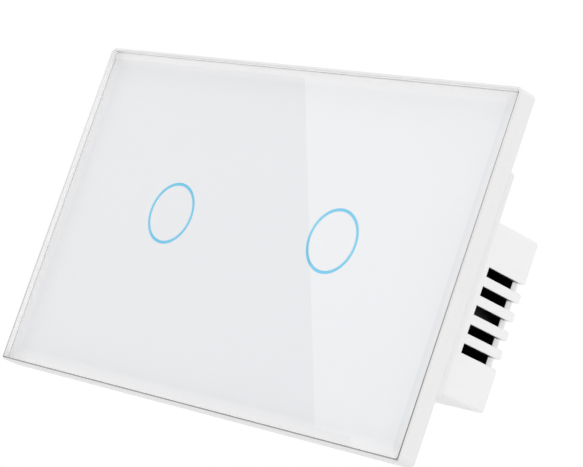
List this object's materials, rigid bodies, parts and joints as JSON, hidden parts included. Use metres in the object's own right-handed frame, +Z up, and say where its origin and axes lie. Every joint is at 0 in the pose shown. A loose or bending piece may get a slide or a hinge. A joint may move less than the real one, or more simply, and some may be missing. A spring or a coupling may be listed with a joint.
{
  "type": "smart light switch",
  "caption": "Smart touch light switch for a wall box: wide glass front with lit touch rings, clip-on frame, base with steel strap, vented rear housing with boards, relays and terminals.",
  "frame": {"origin": "midway between the two mounting slots, on the plane where the base meets the wall", "axes": "+X along the long side, to the right seen from the front; +Y into the wall; +Z up"},
  "size_m": [0.12, 0.0434, 0.072],
  "materials": {
    "tempered_glass": "polished",
    "white_print": "fired ink",
    "ring_ink": "translucent, lit from behind",
    "foam_tape": "matt",
    "white_polycarbonate": "fine satin moulding",
    "zinc_plated_steel": "zinc plated",
    "screw_steel": "nickel plated",
    "clear_acrylic": "frosted",
    "spring_steel": "drawn wire",
    "board_green": "solder mask",
    "led_body": "moulded",
    "chip_black": "moulded epoxy",
    "header_black": "moulded",
    "pin_brass": "gold flashed",
    "relay_blue": "moulded",
    "soft_iron": "annealed",
    "copper_winding": "enamelled wire",
    "ferrite": "sintered",
    "tape_yellow": "polyester tape over wire",
    "sleeve_black": "shrink sleeve on aluminium",
    "film_yellow": "potted case",
    "disc_blue": "epoxy dip",
    "fuse_brown": "moulded case",
    "terminal_nylon": "moulded nylon",
    "contact_brass": "tin flashed"
  },
  "bodies": {
    "switch_body": {"mounting_base": "white_polycarbonate", "mounting_strap": "zinc_plated_steel", "rear_housing": "white_polycarbonate", "housing_screws": "screw_steel", "touch_holder": "white_polycarbonate", "holder_screws": "screw_steel", "light_guides": "clear_acrylic", "touch_springs": "spring_steel", "touch_board": "board_green", "touch_board_screws": "screw_steel", "ring_leds": "led_body", "touch_chip": "chip_black", "radio_board": "board_green", "radio_shield": "zinc_plated_steel", "header_body": "header_black", "header_pins": "pin_brass", "header_socket": "header_black", "power_board": "board_green", "power_board_screws": "screw_steel", "relay_cases": "relay_blue", "relay_bases": "relay_blue", "relay_irons": "soft_iron", "relay_coils": "copper_winding", "relay_contacts": "contact_brass", "transformer_core": "ferrite", "transformer_winding": "tape_yellow", "capacitors": "sleeve_black", "film_capacitor": "film_yellow", "surge_disc": "disc_blue", "fuse": "fuse_brown", "rectifier": "chip_black", "supply_chip": "chip_black", "terminal_block": "terminal_nylon", "terminal_bars": "contact_brass"},
    "front_panel": {"glass_panel": "tempered_glass", "glass_print": "white_print", "ring_diffusers": "ring_ink", "glass_tape": "foam_tape", "panel_frame": "white_polycarbonate"},
    "relay_armature_1": {"relay_armature_1": "soft_iron"},
    "relay_armature_2": {"relay_armature_2": "soft_iron"},
    "terminal_screw_1": {"terminal_screw_1": "screw_steel"},
    "terminal_cage_1": {"terminal_cage_1": "contact_brass"},
    "terminal_screw_2": {"terminal_screw_2": "screw_steel"},
    "terminal_cage_2": {"terminal_cage_2": "contact_brass"},
    "terminal_screw_3": {"terminal_screw_3": "screw_steel"},
    "terminal_cage_3": {"terminal_cage_3": "contact_brass"},
    "terminal_screw_4": {"terminal_screw_4": "screw_steel"},
    "terminal_cage_4": {"terminal_cage_4": "contact_brass"}
  },
  "joints": [
    {"name": "panel_pull", "type": "slide", "parent": "switch_body", "child": "front_panel", "axis": [0, -1, 0], "range_m": [0, 0.03]},
    {"name": "relay_armature_1_tip", "type": "hinge", "parent": "switch_body", "child": "relay_armature_1", "pos_m": [-0.0235, 0.0049, 0.00885], "axis": [1, 0, 0], "range_deg": [0, 4], "stiffness_Nm_per_rad": 0.0002, "springref_deg": -11.46},
    {"name": "relay_armature_2_tip", "type": "hinge", "parent": "switch_body", "child": "relay_armature_2", "pos_m": [-0.0143, 0.0049, 0.00885], "axis": [1, 0, 0], "range_deg": [0, 4], "stiffness_Nm_per_rad": 0.0002, "springref_deg": -11.46},
    {"name": "terminal_screw_1_turn", "type": "hinge", "parent": "switch_body", "child": "terminal_screw_1", "pos_m": [-0.01143, 0.03025, -0.01065], "axis": [0, -1, 0], "range_deg": [0, 1370]},
    {"name": "terminal_cage_1_lift", "type": "slide", "parent": "switch_body", "child": "terminal_cage_1", "axis": [0, 1, 0], "range_m": [0, 0.0019]},
    {"name": "terminal_screw_2_turn", "type": "hinge", "parent": "switch_body", "child": "terminal_screw_2", "pos_m": [-0.00381, 0.03025, -0.01065], "axis": [0, -1, 0], "range_deg": [0, 1370]},
    {"name": "terminal_cage_2_lift", "type": "slide", "parent": "switch_body", "child": "terminal_cage_2", "axis": [0, 1, 0], "range_m": [0, 0.0019]},
    {"name": "terminal_screw_3_turn", "type": "hinge", "parent": "switch_body", "child": "terminal_screw_3", "pos_m": [0.00381, 0.03025, -0.01065], "axis": [0, -1, 0], "range_deg": [0, 1370]},
    {"name": "terminal_cage_3_lift", "type": "slide", "parent": "switch_body", "child": "terminal_cage_3", "axis": [0, 1, 0], "range_m": [0, 0.0019]},
    {"name": "terminal_screw_4_turn", "type": "hinge", "parent": "switch_body", "child": "terminal_screw_4", "pos_m": [0.01143, 0.03025, -0.01065], "axis": [0, -1, 0], "range_deg": [0, 1370]},
    {"name": "terminal_cage_4_lift", "type": "slide", "parent": "switch_body", "child": "terminal_cage_4", "axis": [0, 1, 0], "range_m": [0, 0.0019]}
  ],
  "couplings": [
    {"joint": "terminal_screw_1_turn", "follows": "terminal_cage_1_lift", "rad_per_m": 12566},
    {"joint": "terminal_screw_2_turn", "follows": "terminal_cage_2_lift", "rad_per_m": 12566},
    {"joint": "terminal_screw_3_turn", "follows": "terminal_cage_3_lift", "rad_per_m": 12566},
    {"joint": "terminal_screw_4_turn", "follows": "terminal_cage_4_lift", "rad_per_m": 12566}
  ]
}
